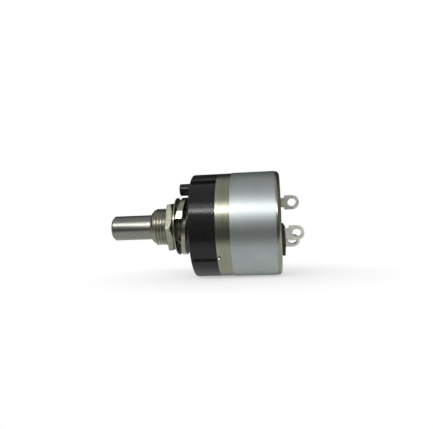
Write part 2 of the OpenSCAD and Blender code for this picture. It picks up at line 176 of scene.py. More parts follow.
@dataclass(frozen=True)
class Finish:
    """A surface made of one material.

    A coarse noise mixes the clean and the dulled colour, where it lies between
    patch_from and patch_to. A fine one drives roughness and bump. Both are measured
    in millimetres. Where root_shade_mm is given, the colour fades to root_shade_colour
    between those two distances from the shaft's axis: painted shade in the roots of a
    thread.
    """

    name: str
    clean: str
    dulled: str
    metallic: float
    roughness: float
    rough_spread: float = 0.08
    patch_mm: float = 4.0
    patch_from: float = 0.4
    patch_to: float = 0.7
    grain: Grain = Grain.EVEN
    grain_mm: float = 0.4
    bump_mm: float = 0.01
    specular: float = 0.5
    root_shade_mm: Optional[tuple[float, float]] = None
    root_shade_colour: str = "#000000"

    def coordinates(self, tree: bpy.types.NodeTree, size_mm: float) -> bpy.types.NodeSocket:
        """Object coordinates counted in pattern sizes, stretched along the grain.

        Args:
            tree: Node tree of the material.
            size_mm: Real size of one cell of the pattern.

        Returns:
            The vector output to feed a texture with.
        """
        source = add_node(tree, "ShaderNodeTexCoord").outputs["Object"]
        scale = tuple(k / (size_mm * MM) for k in self.grain.value)
        mapping = add_node(tree, "ShaderNodeMapping", {"Vector": source, "Scale": scale})
        return mapping.outputs["Vector"]

    def darken(
        self, tree: bpy.types.NodeTree, colour: bpy.types.NodeSocket
    ) -> bpy.types.NodeSocket:
        """Fades a colour to painted shade near the shaft's axis, as in a thread's roots.

        Args:
            tree: Node tree of the material.
            colour: Colour at the full radius.

        Returns:
            The mixed colour.
        """
        if self.root_shade_mm is None:
            return colour
        place = add_node(tree, "ShaderNodeTexCoord").outputs["Object"]
        across = add_node(
            tree, "ShaderNodeVectorMath", {0: place, 1: (0.0, 1.0, 1.0)}, operation="MULTIPLY"
        ).outputs[0]
        radius = add_node(
            tree, "ShaderNodeVectorMath", {0: across}, operation="LENGTH"
        ).outputs["Value"]
        # Painted shade: the colour darkens towards the thread's roots
        low, high = self.root_shade_mm
        height = add_node(
            tree,
            "ShaderNodeMapRange",
            {"Value": radius, "From Min": low * MM, "From Max": high * MM},
        ).outputs["Result"]
        return add_node(
            tree,
            "ShaderNodeMix",
            {0: height, COLOUR_A: linear(self.root_shade_colour), COLOUR_B: colour},
            data_type="RGBA",
        ).outputs[COLOUR_OUT]

    def build(self) -> bpy.types.Material:
        """Makes the node material.

        Returns:
            The finished material.
        """
        material = blank_material(self.name)
        tree = material.node_tree
        patches, fine = (
            add_node(
                tree, "ShaderNodeTexNoise", {"Vector": self.coordinates(tree, size), **noise}
            ).outputs["Fac"]
            for size, noise in ((self.patch_mm, PATCH_NOISE), (self.grain_mm, FINE_NOISE))
        )
        spread = add_node(
            tree,
            "ShaderNodeMapRange",
            {"Value": patches, "From Min": self.patch_from, "From Max": self.patch_to},
        ).outputs["Result"]
        colour = add_node(
            tree,
            "ShaderNodeMix",
            {0: spread, COLOUR_A: linear(self.clean), COLOUR_B: linear(self.dulled)},
            data_type="RGBA",
        ).outputs[COLOUR_OUT]
        rough = add_node(
            tree,
            "ShaderNodeMapRange",
            {
                "Value": fine,
                "From Min": FINE_FROM,
                "From Max": FINE_TO,
                "To Min": max(LEAST_ROUGHNESS, self.roughness - self.rough_spread),
                "To Max": self.roughness + self.rough_spread,
            },
        ).outputs["Result"]
        bump = add_node(
            tree,
            "ShaderNodeBump",
            {"Height": fine, "Strength": 1.0, "Distance": self.bump_mm * MM},
        ).outputs["Normal"]
        shader = add_node(
            tree,
            "ShaderNodeBsdfPrincipled",
            {
                "Base Color": self.darken(tree, colour),
                "Roughness": rough,
                "Normal": bump,
                "Metallic": self.metallic,
                "Specular IOR Level": self.specular,
            },
        )
        add_node(tree, "ShaderNodeOutputMaterial", {"Surface": shader.outputs["BSDF"]})
        return material


class Finishes:
    """Every finish on the object, built once and shared."""

    table: tuple[Finish, ...] = (
        # Free-cutting steel, turned and nickel plated: grey with faint rings round the rod,
        # drawn coarser than a lathe leaves them so that they show
        Finish(
            "turned_steel", "#7f807a", "#7b7c76", metallic=1.0, roughness=0.3,
            rough_spread=0.01, patch_mm=6.0, patch_to=0.75, grain=Grain.ROUND, grain_mm=0.5,
            bump_mm=0.0001,
        ),
        # Brass, thread cut and nickel plated: warm grey crests, with painted shade darkening
        # the roots
        Finish(
            "plated_thread", "#c0c0b5", "#aaa99d", metallic=1.0, roughness=0.34,
            rough_spread=0.05, patch_mm=1.2, grain_mm=0.3, bump_mm=0.003, root_shade_mm=(4.0, 4.35),
            root_shade_colour="#7c796d",
        ),
        # Brass, barrel nickel plated: warm grey, faintly pitted by tumbling
        Finish(
            "tumbled_nickel", "#9a9c8e", "#7f8071", metallic=1.0, roughness=0.31, patch_mm=0.6,
            patch_from=0.35, grain_mm=0.25, bump_mm=0.02,
        ),
        # Steel, punched and plated: grey with slightly brown patches
        Finish(
            "punched_washer", "#999a8b", "#857f76", metallic=1.0, roughness=0.26,
            rough_spread=0.06, patch_mm=1.6, patch_from=0.45, patch_to=0.75, grain_mm=0.45,
            bump_mm=0.003,
        ),
        # Steel sheet, drawn and nickel plated: olive grey with rings round the can, drawn
        # coarser than the real ones so that they show
        Finish(
            "drawn_nickel", "#929384", "#858475", metallic=1.0, roughness=0.24,
            rough_spread=0.05, patch_mm=3.0, patch_from=0.42, patch_to=0.72, grain=Grain.ROUND,
            bump_mm=0.004,
        ),
        # Polyester film with a metal skin, wrapped by hand: pale neutral silver
        Finish(
            "metallised_film", "#a4aaa9", "#9ca2a2", metallic=1.0, roughness=0.44,
            rough_spread=0.02, patch_mm=6.0, patch_from=0.35, grain_mm=0.5, bump_mm=0.003,
        ),
        # Phenolic, compression moulded: black and glossy with a fine orange-peel skin
        Finish(
            "moulded_phenolic", "#121213", "#18181a", metallic=0.0, roughness=0.08,
            rough_spread=0.02, patch_mm=1.8, patch_to=0.75, grain_mm=0.3, bump_mm=0.02,
            specular=0.27,
        ),
        # Phenolic from a sand-blasted mould: black and matt
        Finish(
            "matt_phenolic", "#111112", "#171718", metallic=0.0, roughness=0.55, patch_mm=1.8,
            patch_to=0.75, grain_mm=0.3, bump_mm=0.006, specular=0.2,
        ),
        # Brass strip, hot tinned: whitish with smeared patches
        Finish(
            "tinned_brass", "#dddfd4", "#afb1a5", metallic=0.6, roughness=0.4, rough_spread=0.1,
            patch_mm=0.9, patch_to=0.75, grain_mm=0.3, bump_mm=0.012,
        ),
        # Laminated paper and resin, sawn: brown with a layered edge
        Finish(
            "laminated_card", "#8a5a31", "#6f4524", metallic=0.0, roughness=0.6,
            rough_spread=0.1, patch_mm=1.5, grain=Grain.ROUND, grain_mm=0.25,
        ),
        # Resistance wire, drawn: warm grey, with lines that each stand for some turns
        Finish(
            "resistance_wire", "#a89f92", "#857c6d", metallic=1.0, roughness=0.35, patch_mm=1.0,
            grain=Grain.ALONG, grain_mm=0.3, bump_mm=0.015,
        ),
        # Phosphor bronze strip, rolled: reddish and evenly bright
        Finish(
            "rolled_bronze", "#c08a55", "#9a6a3c", metallic=1.0, roughness=0.3, patch_mm=1.2,
            grain_mm=0.3, bump_mm=0.006,
        ),
        # Contact alloy, cold headed: pale yellow and bright
        Finish(
            "contact_alloy", "#dcd0a2", "#bfb185", metallic=1.0, roughness=0.2,
            rough_spread=0.05, patch_mm=0.8, grain_mm=0.2, bump_mm=0.003,
        ),
        # Brass, turned and polished: bright yellow with fine rings
        Finish(
            "turned_brass", "#d8b56d", "#b5904c", metallic=1.0, roughness=0.22,
            rough_spread=0.06, patch_mm=1.5, grain=Grain.ROUND, grain_mm=0.2, bump_mm=0.004,
        ),
        # Phenolic, moulded: dark brown and half matt
        Finish(
            "brown_phenolic", "#4a2f20", "#39251a", metallic=0.0, roughness=0.45,
            rough_spread=0.1, patch_mm=1.5, grain_mm=0.35, bump_mm=0.012,
        ),
        # Spring steel, blued and oiled: dark grey with a soft shine
        Finish(
            "spring_steel", "#6a6a6c", "#4e4e52", metallic=1.0, roughness=0.35, patch_mm=1.0,
            grain_mm=0.25, bump_mm=0.005,
        ),
    )

    def __init__(self) -> None:
        """Builds the whole table."""
        self.made = {f.name: f.build() for f in self.table}

    def put(self, obj: bpy.types.Object, name: str) -> None:
        """Gives an object one finish in its only slot.

        Args:
            obj: Object to dress.
            name: Finish to use.
        """
        obj.data.materials.clear()
        obj.data.materials.append(self.made[name])


# ---------------------------------------------------------------- surfaces


def grid_faces(rows: int, columns: int, close_rows: bool, close_columns: bool) -> np.ndarray:
    """Quads of a grid of points, wound so that row x column points outwards.

    Args:
        rows: Number of rows of points.
        columns: Number of points in a row.
        close_rows: Whether the last row joins the first.
        close_columns: Whether the last point of a row joins the first.

    Returns:
        Array of four point numbers for each face.
    """
    i = np.arange(rows if close_rows else rows - 1)
    j = np.arange(columns if close_columns else columns - 1)
    i, j = (a.ravel() for a in np.meshgrid(i, j, indexing="ij"))
    k, m = (i + 1) % rows, (j + 1) % columns
    return np.stack([i * columns + j, k * columns + j, k * columns + m, i * columns + m], 1)


def make_object(
    name: str,
    points: np.ndarray,
    quads: np.ndarray,
    caps: Sequence[Sequence[int]] = (),
    smooth_deg: float = 40.0,
) -> bpy.types.Object:
    """Writes a mesh, welds its doubles, turns its faces outwards and shades it.

    Args:
        name: Name of the piece.
        points: Array of points in millimetres.
        quads: Four point numbers for each face.
        caps: Point numbers of the faces that close an open end.
        smooth_deg: Edges sharper than this stay sharp.

    Returns:
        The new object, at the origin.
    """
    mesh = bpy.data.meshes.new(name)
    mesh.from_pydata((points.reshape(-1, 3) * MM).tolist(), [], quads.tolist() + list(caps))
    work = bmesh.new()
    work.from_mesh(mesh)
    bmesh.ops.remove_doubles(work, verts=work.verts, dist=WELD_M)
    bmesh.ops.recalc_face_normals(work, faces=work.faces)
    if work.calc_volume(signed=True) < 0:
        bmesh.ops.reverse_faces(work, faces=work.faces)
    work.to_mesh(mesh)
    work.free()
    mesh.polygons.foreach_set("use_smooth", np.ones(len(mesh.polygons), bool))
    mesh.set_sharp_from_angle(angle=math.radians(smooth_deg))
    return add_object(name, mesh)


def end_caps(rows: int, columns: int) -> list[list[int]]:
    """The two faces that close a profile of some points carried along an open path.

    Args:
        rows: Number of places on the path.
        columns: Number of points in the profile.

    Returns:
        Point numbers of the first and the last face.
    """
    last = (rows - 1) * columns
    return [list(range(columns)), list(range(last + columns - 1, last - 1, -1))]


def rounded(corners: Sequence[Sequence[float]], steps: int = 4) -> np.ndarray:
    """A closed profile whose corners are rounded.

    Each corner is replaced by a curve that starts and ends one radius away from it
    along its two sides, and is the quadratic curve between them.

    Args:
        corners: (station, radius, rounding) of each corner, in order.
        steps: Number of pieces in each rounding.

    Returns:
        Array of (station, radius) points.
    """
    ring = np.array(corners, float)
    points = []
    for k, (x, r, bend) in enumerate(ring):
        here = np.array([x, r])
        if bend <= 0:
            points.append(here)
            continue
        before, after = ring[k - 1, :2] - here, ring[(k + 1) % len(ring), :2] - here
        a = here + before / np.linalg.norm(before) * bend
        b = here + after / np.linalg.norm(after) * bend
        for t in np.linspace(0, 1, steps + 1):
            points.append((1 - t) ** 2 * a + 2 * t * (1 - t) * here + t**2 * b)
    return np.array(points)


def dense_angles(middles_deg: np.ndarray, near_deg: np.ndarray, even_deg: float) -> np.ndarray:
    """Even steps round the axis, with many more near some places.

    An even step that nearly falls on one of the extra ones is left out.

    Args:
        middles_deg: The places.
        near_deg: Offsets of the extra steps from each place.
        even_deg: Size of the even steps.

    Returns:
        Sorted angles in radians.
    """
    extra = (middles_deg[:, None] + near_deg).ravel() % 360
    even = np.arange(0, 360, even_deg)
    clear = np.abs(even[:, None] - extra).min(1) > LEAST_STEP_DEG
    return np.deg2rad(np.sort(np.concatenate([even[clear], extra])))


def spin(x: np.ndarray, r: np.ndarray, a: np.ndarray) -> np.ndarray:
    """Points round the shaft's axis.

    The point at station x, radius r and angle a is (x, r cos a, r sin a).

    Args:
        x: Stations.
        r: Radii.
        a: Angles in radians. The three are stretched to one shape.

    Returns:
        Array of points in millimetres.
    """
    return np.stack(np.broadcast_arrays(x, r * np.cos(a), r * np.sin(a)), -1)


def turn(profile: np.ndarray, sides: int = 128) -> tuple[np.ndarray, np.ndarray]:
    """A closed profile carried once round the shaft's axis.

    Args:
        profile: Array of (station, radius) points.
        sides: Number of steps round the axis.

    Returns:
        Points and faces.
    """
    a = np.linspace(0, 2 * np.pi, sides, endpoint=False)
    points = spin(profile[:, :1], profile[:, 1:], a)
    return points, grid_faces(len(profile), sides, True, True)


# ---------------------------------------------------------------- pieces


@dataclass
class Threads:
    """The fine thread cut on the bushing, with the bushing's whole body.

    The thread's depth and the flat of its crest are counted in pitches.
    """

    finishes: Finishes
    radius: float = 4.5
    pitch: float = 0.75
    depth_pitches: float = 0.6134
    crest_pitches: float = 0.125
    flank_deg: float = 30.0
    bore: float = 3.0
    bore_chamfer: float = 0.3
    front: float = -9.45
    chamfer: float = 1.0
    root: float = 1.0
    flange_end: float = 2.4
    flange_radius: float = 5.7
    tail: float = 4.9
    tail_radius: float = 4.2
    sides: int = 120
    rows_per_pitch: int = 10

    def outside(self, x: np.ndarray, a: np.ndarray) -> np.ndarray:
        """Radius of the threaded outside at station x and angle a.

        The distance to the nearest crest of a right-hand helix, less half a crest's
        width and over the tangent of flank_deg, is how deep the flank lies, between a
        flat crest and a flat root. The front chamfer cuts it to a cone.

        Args:
            x: Stations.
            a: Angles round the axis.

        Returns:
            Radii.
        """
        phase = (x / self.pitch + a / (2 * np.pi)) % 1.0
        away = np.abs(phase - 0.5) * self.pitch
        slope = math.tan(math.radians(self.flank_deg))
        past = away - self.crest_pitches / 2 * self.pitch
        flank = np.clip(past / slope, 0, self.depth_pitches * self.pitch)
        cone = self.radius - self.chamfer + np.maximum(x - self.front, 0)
        return np.minimum(self.radius - flank, cone)

    def build(self) -> bpy.types.Object:
        """Carries the bore, the faces and the threaded outside round the axis.

        Returns:
            The bushing.
        """
        a = np.linspace(0, 2 * np.pi, self.sides, endpoint=False)[None, :]
        step = self.pitch / self.rows_per_pitch
        x = np.arange(self.front, self.root + step / 2, step)[:, None]
        x, wide = np.broadcast_arrays(x, a)
        outer = self.outside(x, wide)
        rows = np.array(
            [
                (self.root, self.flange_radius),
                (self.flange_end, self.flange_radius),
                (self.flange_end, self.tail_radius),
                (self.tail, self.tail_radius),
                (self.tail, self.bore),
                (self.front + self.bore_chamfer, self.bore),
                (self.front, self.bore + self.bore_chamfer),
            ]
        )
        ring = np.ones((1, self.sides))
        x = np.concatenate([x, rows[:, :1] * ring])
        r = np.concatenate([outer, rows[:, 1:] * ring])
        points = spin(x, r, a)
        quads = grid_faces(len(x), self.sides, True, True)
        obj = make_object("bushing_with_thread", points, quads, smooth_deg=50)
        self.finishes.put(obj, "plated_thread")
        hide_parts("threaded_bushing")
        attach(obj, "base")
        return obj


@dataclass
class Hardware:
    """Hex nut, flat washer and split lock washer.

    nut_faces says how far the nut's front and rear faces lie in front of the flat
    washer. A broken edge of the nut is nut_edge wide, and the point between its ends
    lies nut_ease of that off the sharp corner. The lock washer is measured from its
    front cut end, at 0, to its rear one, at 1.
    """

    finishes: Finishes
    thread_radius: float = 4.55
    across_flats: float = 11.0
    nut_turn: float = 3.5
    nut_faces: tuple[float, float] = (2.0, 0.15)
    nut_chamfer_deg: float = 30.0
    nut_edge: float = 0.07
    nut_ease: float = 0.3
    nut_countersink: float = 0.35
    nut_sides: int = 144
    face_radius: float = 4.85
    washer_radius: float = 6.95
    washer_bore: float = 4.6
    flat_sheet: float = 0.3
    flat_edge: float = 0.06
    flat_drawn_edge: float = 0.1
    lock_section: float = 1.25
    lock_bore_edge: float = 0.08
    lock_rim_edge: float = 0.14
    lock_lift: float = 0.8
    lock_thin: float = 0.42
    lock_dip: float = 0.9
    lock_swell: float = 0.63
    lock_lean: float = 0.25
    lock_split_deg: float = 7.0
    lock_turn_deg: float = 167.0
    lock_dip_to: float = 0.13
    lock_dip_power: float = 1.5
    lock_rise_from: float = 0.7
    lock_rise_power: float = 1.25
    lock_steps: int = 180
    lock_flat_deg: tuple[float, float] = (147.0, 161.0)
    lock_middle: float = field(init=False)
    flat: tuple[float, float] = field(init=False)
    nut: tuple[float, float] = field(init=False)

    def __post_init__(self) -> None:
        """Places the washers and the nut from the boss forwards, as the CAD does."""
        half = self.lock_split_deg / 2
        start, end = (math.radians(self.lock_turn_deg + k * half) for k in (-1, 1))
        self.lock_middle = -self.lock_section - self.lock_lift - self.lock_lean * math.sin(end)
        front = self.lock_middle + self.lock_lean * math.sin(start) - self.lock_dip
        self.flat = (front - self.flat_sheet, front)
        self.nut = (self.flat[0] - self.nut_faces[0], self.flat[0] - self.nut_faces[1])

    def build_nut(self) -> bpy.types.Object:
        """A hexagon cut by a cone on the washer side.

        The radius is half the flats' distance over the cosine of the angle to the
        middle of the nearest flat. The cone starts at face_radius on the rear face and
        comes forwards, at nut_chamfer_deg to it, until it meets the hexagon. Each
        broken edge has three points, and both ends of the bore are countersunk.

        Returns:
            The nut.
        """
        round_deg = np.linspace(0, 360, self.nut_sides, endpoint=False)
        a = np.deg2rad(round_deg + self.nut_turn)
        flats = 30 + 60 * np.arange(6)
        near = np.abs(round_deg[:, None] - flats).min(1)
        corner = self.across_flats / 2 / np.cos(np.deg2rad(near))
        front, back = self.nut
        cone = back - (corner - self.face_radius) * math.tan(math.radians(self.nut_chamfer_deg))
        edge, ease = self.nut_edge, self.nut_edge * self.nut_ease
        bore, sink = self.thread_radius, self.nut_countersink
        rows = (
            (front, bore + sink),
            (front, corner - edge),
            (front + ease, corner - ease),
            (front + edge, corner),
            (cone - edge, corner),
            (cone - ease, corner - ease),
            (cone + edge / 2, corner - edge),
            (back, self.face_radius),
            (back, bore + sink),
            (back - sink, bore),
            (front + sink, bore),
        )
        x, r = (np.stack([np.broadcast_to(row[k], a.shape) for row in rows]) for k in (0, 1))
        points = spin(x, r, a)
        quads = grid_faces(len(rows), self.nut_sides, True, True)
        obj = make_object("nut_body", points, quads, smooth_deg=22)
        self.finishes.put(obj, "tumbled_nickel")
        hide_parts("hex_nut")
        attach(obj, "base")
        return obj

    def build_flat(self) -> bpy.types.Object:
        """A punched ring: one rim edge drawn over, the other crisp.

        Returns:
            The flat washer.
        """
        front, back = self.flat
        profile = rounded(
            [
                (front, self.washer_bore, self.flat_edge),
                (front, self.washer_radius, self.flat_drawn_edge),
                (back, self.washer_radius, self.flat_edge),
                (back, self.washer_bore, self.flat_edge),
            ]
        )
        obj = make_object("washer_ring", *turn(profile))
        self.finishes.put(obj, "punched_washer")
        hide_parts("flat_washer")
        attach(obj, "base")
        return obj

    def build_lock(self) -> bpy.types.Object:
        """A rounded square section carried once round the thread, sprung and tanged.

        The ring leans by lock_lean times the sine of the angle. Towards the front end
        it dips by lock_dip and swells by lock_swell, both times the power
        lock_dip_power of the share that is covered of the way from lock_dip_to.
        Towards the rear end it rises by lock_lift and lock_thin and loses lock_thin of
        its thickness, both times the power lock_rise_power of the share of the way
        from lock_rise_from. From the first angle of lock_flat_deg to the front end the
        rim is a flat that faces the second one: its radius is the flat's distance over
        the cosine of the angle between them, and the radii under it shrink with it.

        Returns:
            The lock washer.
        """
        rows = self.lock_steps + 1
        u = np.linspace(0, 1, rows)
        rise = np.clip((u - self.lock_rise_from) / (1 - self.lock_rise_from), 0, 1)
        rise = rise**self.lock_rise_power
        dip = np.clip(1 - u / self.lock_dip_to, 0, 1) ** self.lock_dip_power
        sweep = 360 - self.lock_split_deg
        a = np.deg2rad(self.lock_turn_deg - self.lock_split_deg / 2 - sweep * u)
        front = self.lock_middle + self.lock_lean * np.sin(a)
        front = front - self.lock_dip * dip + (self.lock_lift + self.lock_thin) * rise
        thick = self.lock_section + self.lock_swell * dip - self.lock_thin * rise
        section = rounded(
            [
                (0.0, self.washer_bore, self.lock_bore_edge),
                (0.0, self.washer_radius, self.lock_rim_edge),
                (1.0, self.washer_radius, self.lock_rim_edge),
                (1.0, self.washer_bore, self.lock_bore_edge),
            ]
        )
        x = front[:, None] + thick[:, None] * section[:, 0]
        begin, facing = np.deg2rad(self.lock_flat_deg)
        flat = self.washer_radius * np.cos(facing - begin) / np.cos(a - facing)
        lost = np.where(a > begin, self.washer_radius - flat, 0.0)
        share = (section[:, 1] - self.washer_bore) / (self.washer_radius - self.washer_bore)
        r = section[:, 1] - lost[:, None] * share
        points = spin(x, r, a[:, None])
        quads = grid_faces(rows, len(section), False, True)
        obj = make_object("lock_ring", points, quads, end_caps(rows, len(section)))
        self.finishes.put(obj, "punched_washer")
        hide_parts("lock_washer")
        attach(obj, "base")
        return obj


@dataclass
class Moulding:
    """The black front housing with its boss, peg and long grooves."""

    finishes: Finishes
    radius: float = 12.3
    boss_radius: float = 7.0
    boss_edge: float = 0.15
    boss_foot: float = 0.1
    rim: float = 1.2
    rim_round: float = 0.5
    collar_end: float = 7.25
    collar_edge: float = 0.08
    spigot_radius: float = 11.87
    back: float = 19.5
    cavity_radius: float = 10.3
    floor: float = 4.2
    bush_radius: float = 4.5
    tail_radius: float = 4.2
    groove_count: int = 4
    groove_turn_deg: float = 36.5
    groove_width: float = 1.6
    groove_depth: float = 0.8
    open_depth: float = 0.5
    step_before: float = 0.01
    groove_end: float = 8.8
    wall_deg: float = 0.5
    wall_inside: float = 0.6
    wall_over: float = 0.05
    wall_steps: int = 13
    peg_radius: float = 1.45
    peg_height: float = 8.85
    peg_tip: float = -2.4
    peg_edge: float = 0.3
    peg_root: float = 0.25
    peg_sides: int = 48
    round_steps: int = 6
    even_deg: float = 1.2
    half_deg: float = field(init=False)

    def __post_init__(self) -> None:
        """Works out the angle from a groove's middle to its edge."""
        self.half_deg = math.degrees(math.asin(self.groove_width / 2 / self.radius))

    def grooved(self, x: np.ndarray, r: np.ndarray, a: np.ndarray) -> np.ndarray:
        """Radius after the grooves are cut.

        Inside a groove the radius is at most the flat floor's, which is the floor's
        distance over the cosine of the angle. Each wall is a smooth step as wide as
        wall_deg, with the share wall_inside of it within the groove, and it ends
        wall_over above the surface. On the open collar, up to step_before its end, the
        floor comes up to open_depth.

        Args:
            x: Stations.
            r: Radii before the cut.
            a: Angles in radians.

        Returns:
            Radii.
        """
        pitch = 360 / self.groove_count
        off = (np.rad2deg(a) - self.groove_turn_deg + pitch / 2) % pitch - pitch / 2
        t = np.clip((np.abs(off) - self.half_deg) / self.wall_deg + self.wall_inside, 0, 1)
        wall = t * t * (3 - 2 * t)
        on_collar = x < self.collar_end - self.step_before
        depth = np.where(on_collar, self.open_depth, self.groove_depth)
        low = (self.radius - depth) / np.cos(np.deg2rad(off))
        limit = low + (self.radius + self.wall_over - low) * wall
        return np.where(x < self.groove_end, np.minimum(r, limit), r)

    def build(self) -> bpy.types.Object:
        """Carries the section round the axis, cuts the grooves and adds the peg.

        Returns:
            The housing.
        """
        profile = rounded(
            [
                (0.0, self.bush_radius, 0),
                (0.0, self.boss_radius, self.boss_edge),
                (self.rim, self.boss_radius, self.boss_foot),
                (self.rim, self.radius, self.rim_round),
                (self.collar_end, self.radius, self.collar_edge),
                (self.collar_end, self.spigot_radius, 0),
                (self.groove_end, self.spigot_radius, 0),
                (self.back, self.spigot_radius, 0),
                (self.back, self.cavity_radius, 0),
                (self.floor, self.cavity_radius, 0),
                (self.floor, self.tail_radius, 0),
                (self.rim, self.tail_radius, 0),
            ],
            self.round_steps,
        )
        across = np.linspace(0, 1, self.wall_steps) - self.wall_inside
        near = self.half_deg + self.wall_deg * across
        a = dense_angles(
            self.groove_turn_deg + 360 / self.groove_count * np.arange(self.groove_count),
            np.concatenate([near, -near]),
            self.even_deg,
        )
        x, r = (np.repeat(profile[:, k][:, None], len(a), 1) for k in (0, 1))
        r = self.grooved(x, r, np.broadcast_to(a, r.shape))
        body = spin(x, r, a).reshape(-1, 3)
        quads = grid_faces(len(profile), len(a), True, True)
        peg_profile = rounded(
            [
                (self.peg_tip, 0.0, 0),
                (self.peg_tip, self.peg_radius, self.peg_edge),
                (self.rim + self.peg_root, self.peg_radius, 0),
                (self.rim + self.peg_root, 0.0, 0),
            ],
            self.round_steps,
        )
        peg, peg_quads = turn(peg_profile, self.peg_sides)
        peg = peg.reshape(-1, 3) + np.array([0.0, 0.0, self.peg_height])
        obj = make_object(
            "housing_moulding",
            np.concatenate([body, peg]),
            np.concatenate([quads, peg_quads + len(body)]),
            smooth_deg=35,
        )
        self.finishes.put(obj, "moulded_phenolic")
        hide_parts("front_housing")
        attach(obj, "base")
        return obj


@dataclass
class Stamping:
    """A CAD piece whose edges are broken as a press or a mould leaves them."""

    finishes: Finishes
    node: str
    name: str
    finish: str
    edge: float
    body: str = "base"
    segments: int = 2
    flat_deg: float = 0.5
    sharp_deg: float = 35.0

    def build(self, nodes: Mapping[str, bpy.types.Object]) -> bpy.types.Object:
        """Merges a copy of the node, joins its flat faces and bevels its edges.

        Args:
            nodes: CAD nodes by name.

        Returns:
            The new piece.
        """
        mesh = nodes[self.node].data.copy()
        mesh.name = self.name
        work = bmesh.new()
        work.from_mesh(mesh)
        bmesh.ops.remove_doubles(work, verts=work.verts, dist=NODE_WELD_M)
        bmesh.ops.dissolve_limit(
            work, angle_limit=math.radians(self.flat_deg), verts=work.verts, edges=work.edges
        )
        work.to_mesh(mesh)
        work.free()
        mesh.polygons.foreach_set("use_smooth", np.ones(len(mesh.polygons), bool))
        mesh.set_sharp_from_angle(angle=math.radians(self.sharp_deg))
        obj = add_object(self.name, mesh)
        bevel = obj.modifiers.new("broken_edge", "BEVEL")
        bevel.width = self.edge * MM
        bevel.segments = self.segments
        bevel.harden_normals = True
        bevel.limit_method = "ANGLE"
        bevel.angle_limit = math.radians(self.sharp_deg)
        self.finishes.put(obj, self.finish)
        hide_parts(self.node)
        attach(obj, self.body)
        return obj


@dataclass
class Shell:
    """The drawn can, its label and the stake dents at its front edge.

    Rows of points stand close behind the front edge: dense_along gives the first and
    the last of them and their number. Columns stand close at a dent: dense_deg gives
    the first of them, their end and their step.
    """

    finishes: Finishes
    radius: float = 12.3
    sheet: float = 0.4
    front: float = 7.25
    back: float = 21.7
    lip: float = 0.06
    corner: float = 1.0
    corner_steps: int = 9
    window: float = 9.2
    window_edge: float = 0.05
    dense_along: tuple[float, float, int] = (0.15, 1.6, 24)
    plain_from: float = 4.0
    dense_deg: tuple[float, float, float] = (-5.2, 2.2, 0.2)
    even_deg: float = 1.0
    dents: int = 4
    dent_turn: float = 36.5
    dent_set: float = 0.45
    dent_along: float = 0.6
    dent_gentle: float = 1.0
    dent_steep: float = 0.32
    dent_depth: float = 0.35
    label: tuple[float, float] = (10.5, 20.6)
    label_sheet: float = 0.1
    label_edge: float = 0.03
    label_gap_deg: float = 5.0
    label_turn_deg: float = 292.0
    label_steps: int = 240

    def build_can(self) -> bpy.types.Object:
        """Sheet carried round the axis, pushed in where the punch struck.

        A dent lowers the surface by its depth times the square of the cosine of the
        distance from its centre, counted in dent radii. Its radius along the can is
        dent_along, and round it dent_gentle on one side and dent_steep on the other,
        as the punch leans. The rear corner is a quarter circle, outside and inside.

        Returns:
            The can.
        """
        outer, inner = self.radius, self.radius - self.sheet
        walk = [[0.0, self.lip], np.linspace(*self.dense_along), [self.plain_from]]
        walk = np.concatenate(walk) + self.front
        side = np.column_stack([walk, np.full(len(walk), outer)])
        side[0, 1] -= self.lip
        quarter = np.linspace(0, np.pi / 2, self.corner_steps)
        arc = np.column_stack([np.sin(quarter), np.cos(quarter)]) - 1
        wall, edge = self.back - self.sheet, self.window_edge
        opening = [
            (self.back, self.window + edge),
            (self.back - edge, self.window),
            (wall, self.window),
        ]
        profile = np.concatenate(
            [
                side,
                self.corner * arc + (self.back, outer),
                opening,
                ((self.corner - self.sheet) * arc + (wall, inner))[::-1],
                np.column_stack([walk, np.full(len(walk), inner)])[::-1],
            ]
        )
        pitch = 360 / self.dents
        middles = self.dent_turn + pitch * np.arange(self.dents)
        a = dense_angles(middles, np.arange(*self.dense_deg), self.even_deg)
        sides = len(a)
        x, r = (np.repeat(profile[:, k][:, None], sides, 1) for k in (0, 1))
        off = (np.rad2deg(a) - self.dent_turn + pitch / 2) % pitch - pitch / 2
        around = np.deg2rad(off) * self.radius
        around = around / np.where(off < 0, self.dent_gentle, self.dent_steep)
        along = (x - self.front - self.dent_set) / self.dent_along
        away = np.minimum(np.hypot(along, around[None, :]), 1)
        r = r - self.dent_depth * np.cos(np.pi / 2 * away) ** 2
        points = spin(x, r, a)
        quads = grid_faces(len(profile), sides, True, True)
        obj = make_object("can_shell", points, quads, smooth_deg=50)
        self.finishes.put(obj, "drawn_nickel")
        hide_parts("rear_can")
        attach(obj, "base")
        return obj

    def build_label(self) -> bpy.types.Object:
        """A thin rounded section carried round the can between the label's two ends.

        Returns:
            The label.
        """
        front, back = self.label
        low, high = self.radius, self.radius + self.label_sheet
        edge, rows = self.label_edge, self.label_steps + 1
        section = rounded(
            [(front, low, 0), (front, high, edge), (back, high, edge), (back, low, 0)]
        )
        half = self.label_gap_deg / 2
        a = np.deg2rad(np.linspace(half, 360 - half, rows) + self.label_turn_deg)
        points = spin(section[:, 0], section[:, 1], a[:, None])
        quads = grid_faces(rows, len(section), False, True)
        obj = make_object("label_band", points, quads, end_caps(rows, len(section)))
        self.finishes.put(obj, "metallised_film")
        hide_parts("label_wrap")
        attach(obj, "base")
        return obj


